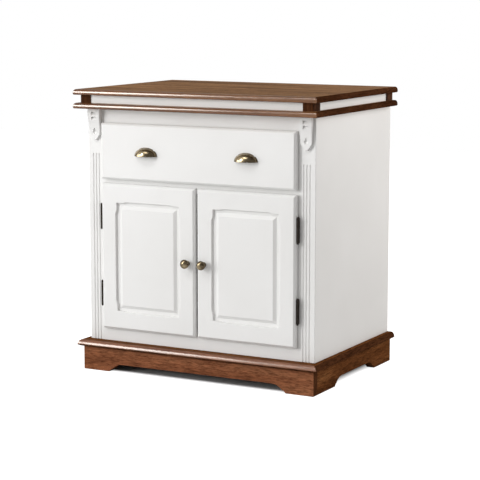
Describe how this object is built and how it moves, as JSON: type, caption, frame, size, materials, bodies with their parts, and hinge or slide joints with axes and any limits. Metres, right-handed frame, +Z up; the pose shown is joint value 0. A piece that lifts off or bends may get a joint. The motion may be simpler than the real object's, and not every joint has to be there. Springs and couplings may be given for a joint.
{
  "type": "kitchen island cabinet",
  "caption": "Free-standing kitchen island base cabinet with a wide drawer over a pair of framed doors, on a plinth with cut-out feet.",
  "frame": {"origin": "on the floor, under the centre of the worktop, which is the centre of the whole cabinet's footprint", "axes": "+Z up, the drawer and doors face -Y, +X to the right of someone facing the front"},
  "size_m": [0.85, 0.6, 0.9],
  "materials": {
    "white_lacquer": "satin white lacquer",
    "walnut_lacquer": "walnut-stained satin lacquer",
    "plain_pine": "plain sanded pine",
    "thin_board": "plain thin board",
    "aged_brass": "aged, darkened in the hollows",
    "dark_bronze": "dark bronze",
    "zinc_steel": "zinc plated",
    "black_plastic": "moulded"
  },
  "bodies": {
    "cabinet": {"back_panel": "thin_board", "base_back_rail": "walnut_lacquer", "base_moulding_front": "walnut_lacquer", "base_moulding_left": "walnut_lacquer", "base_moulding_right": "walnut_lacquer", "bottom_panel": "white_lacquer", "bottom_rail": "white_lacquer", "corbels": "white_lacquer", "cornice_board": "walnut_lacquer", "frieze_back": "white_lacquer", "frieze_corner_blocks": "walnut_lacquer", "frieze_front": "white_lacquer", "frieze_left": "white_lacquer", "frieze_right": "white_lacquer", "hinge_frame_leaves": "dark_bronze", "hinge_frame_screws": "dark_bronze", "hinge_pins": "dark_bronze", "magnetic_catches": "black_plastic", "mid_rail": "white_lacquer", "pilaster_left": "white_lacquer", "pilaster_right": "white_lacquer", "plinth_back": "walnut_lacquer", "plinth_corner_blocks": "plain_pine", "plinth_front": "walnut_lacquer", "plinth_left": "walnut_lacquer", "plinth_right": "walnut_lacquer", "runner_battens": "plain_pine", "runner_cabinet_members": "zinc_steel", "shelf": "white_lacquer", "shelf_pins": "zinc_steel", "side_panel_left": "white_lacquer", "side_panel_right": "white_lacquer", "top_rail": "white_lacquer", "worktop": "walnut_lacquer"},
    "drawer": {"drawer_front": "white_lacquer", "drawer_sides": "plain_pine", "drawer_inner_front": "plain_pine", "drawer_back": "plain_pine", "drawer_bottom": "thin_board", "cup_pulls": "aged_brass", "cup_pull_screws": "zinc_steel", "runner_drawer_members": "zinc_steel"},
    "runner_intermediates": {"runner_intermediate_members": "zinc_steel"},
    "left_door": {"left_door_hinge_leaves": "dark_bronze", "left_door_hinge_stile": "white_lacquer", "left_door_knob": "aged_brass", "left_door_lock_stile": "white_lacquer", "left_door_panel": "white_lacquer", "left_door_rails": "white_lacquer", "left_door_screws": "zinc_steel", "left_door_strike_plate": "zinc_steel"},
    "right_door": {"right_door_hinge_leaves": "dark_bronze", "right_door_hinge_stile": "white_lacquer", "right_door_knob": "aged_brass", "right_door_lock_stile": "white_lacquer", "right_door_panel": "white_lacquer", "right_door_rails": "white_lacquer", "right_door_screws": "zinc_steel", "right_door_strike_plate": "zinc_steel"}
  },
  "joints": [
    {"name": "drawer_slide", "type": "slide", "parent": "cabinet", "child": "drawer", "axis": [0, -1, 0], "range_m": [0, 0.43]},
    {"name": "runner_intermediate_slide", "type": "slide", "parent": "cabinet", "child": "runner_intermediates", "axis": [0, -1, 0], "range_m": [0, 0.215]},
    {"name": "left_door_hinge", "type": "hinge", "parent": "cabinet", "child": "left_door", "pos_m": [-0.3475, -0.2615, 0.3745], "axis": [0, 0, -1], "range_deg": [0, 150]},
    {"name": "right_door_hinge", "type": "hinge", "parent": "cabinet", "child": "right_door", "pos_m": [0.3475, -0.2615, 0.3745], "axis": [0, 0, 1], "range_deg": [0, 150]}
  ],
  "couplings": [
    {"joint": "runner_intermediate_slide", "follows": "drawer_slide", "ratio": 0.5}
  ]
}
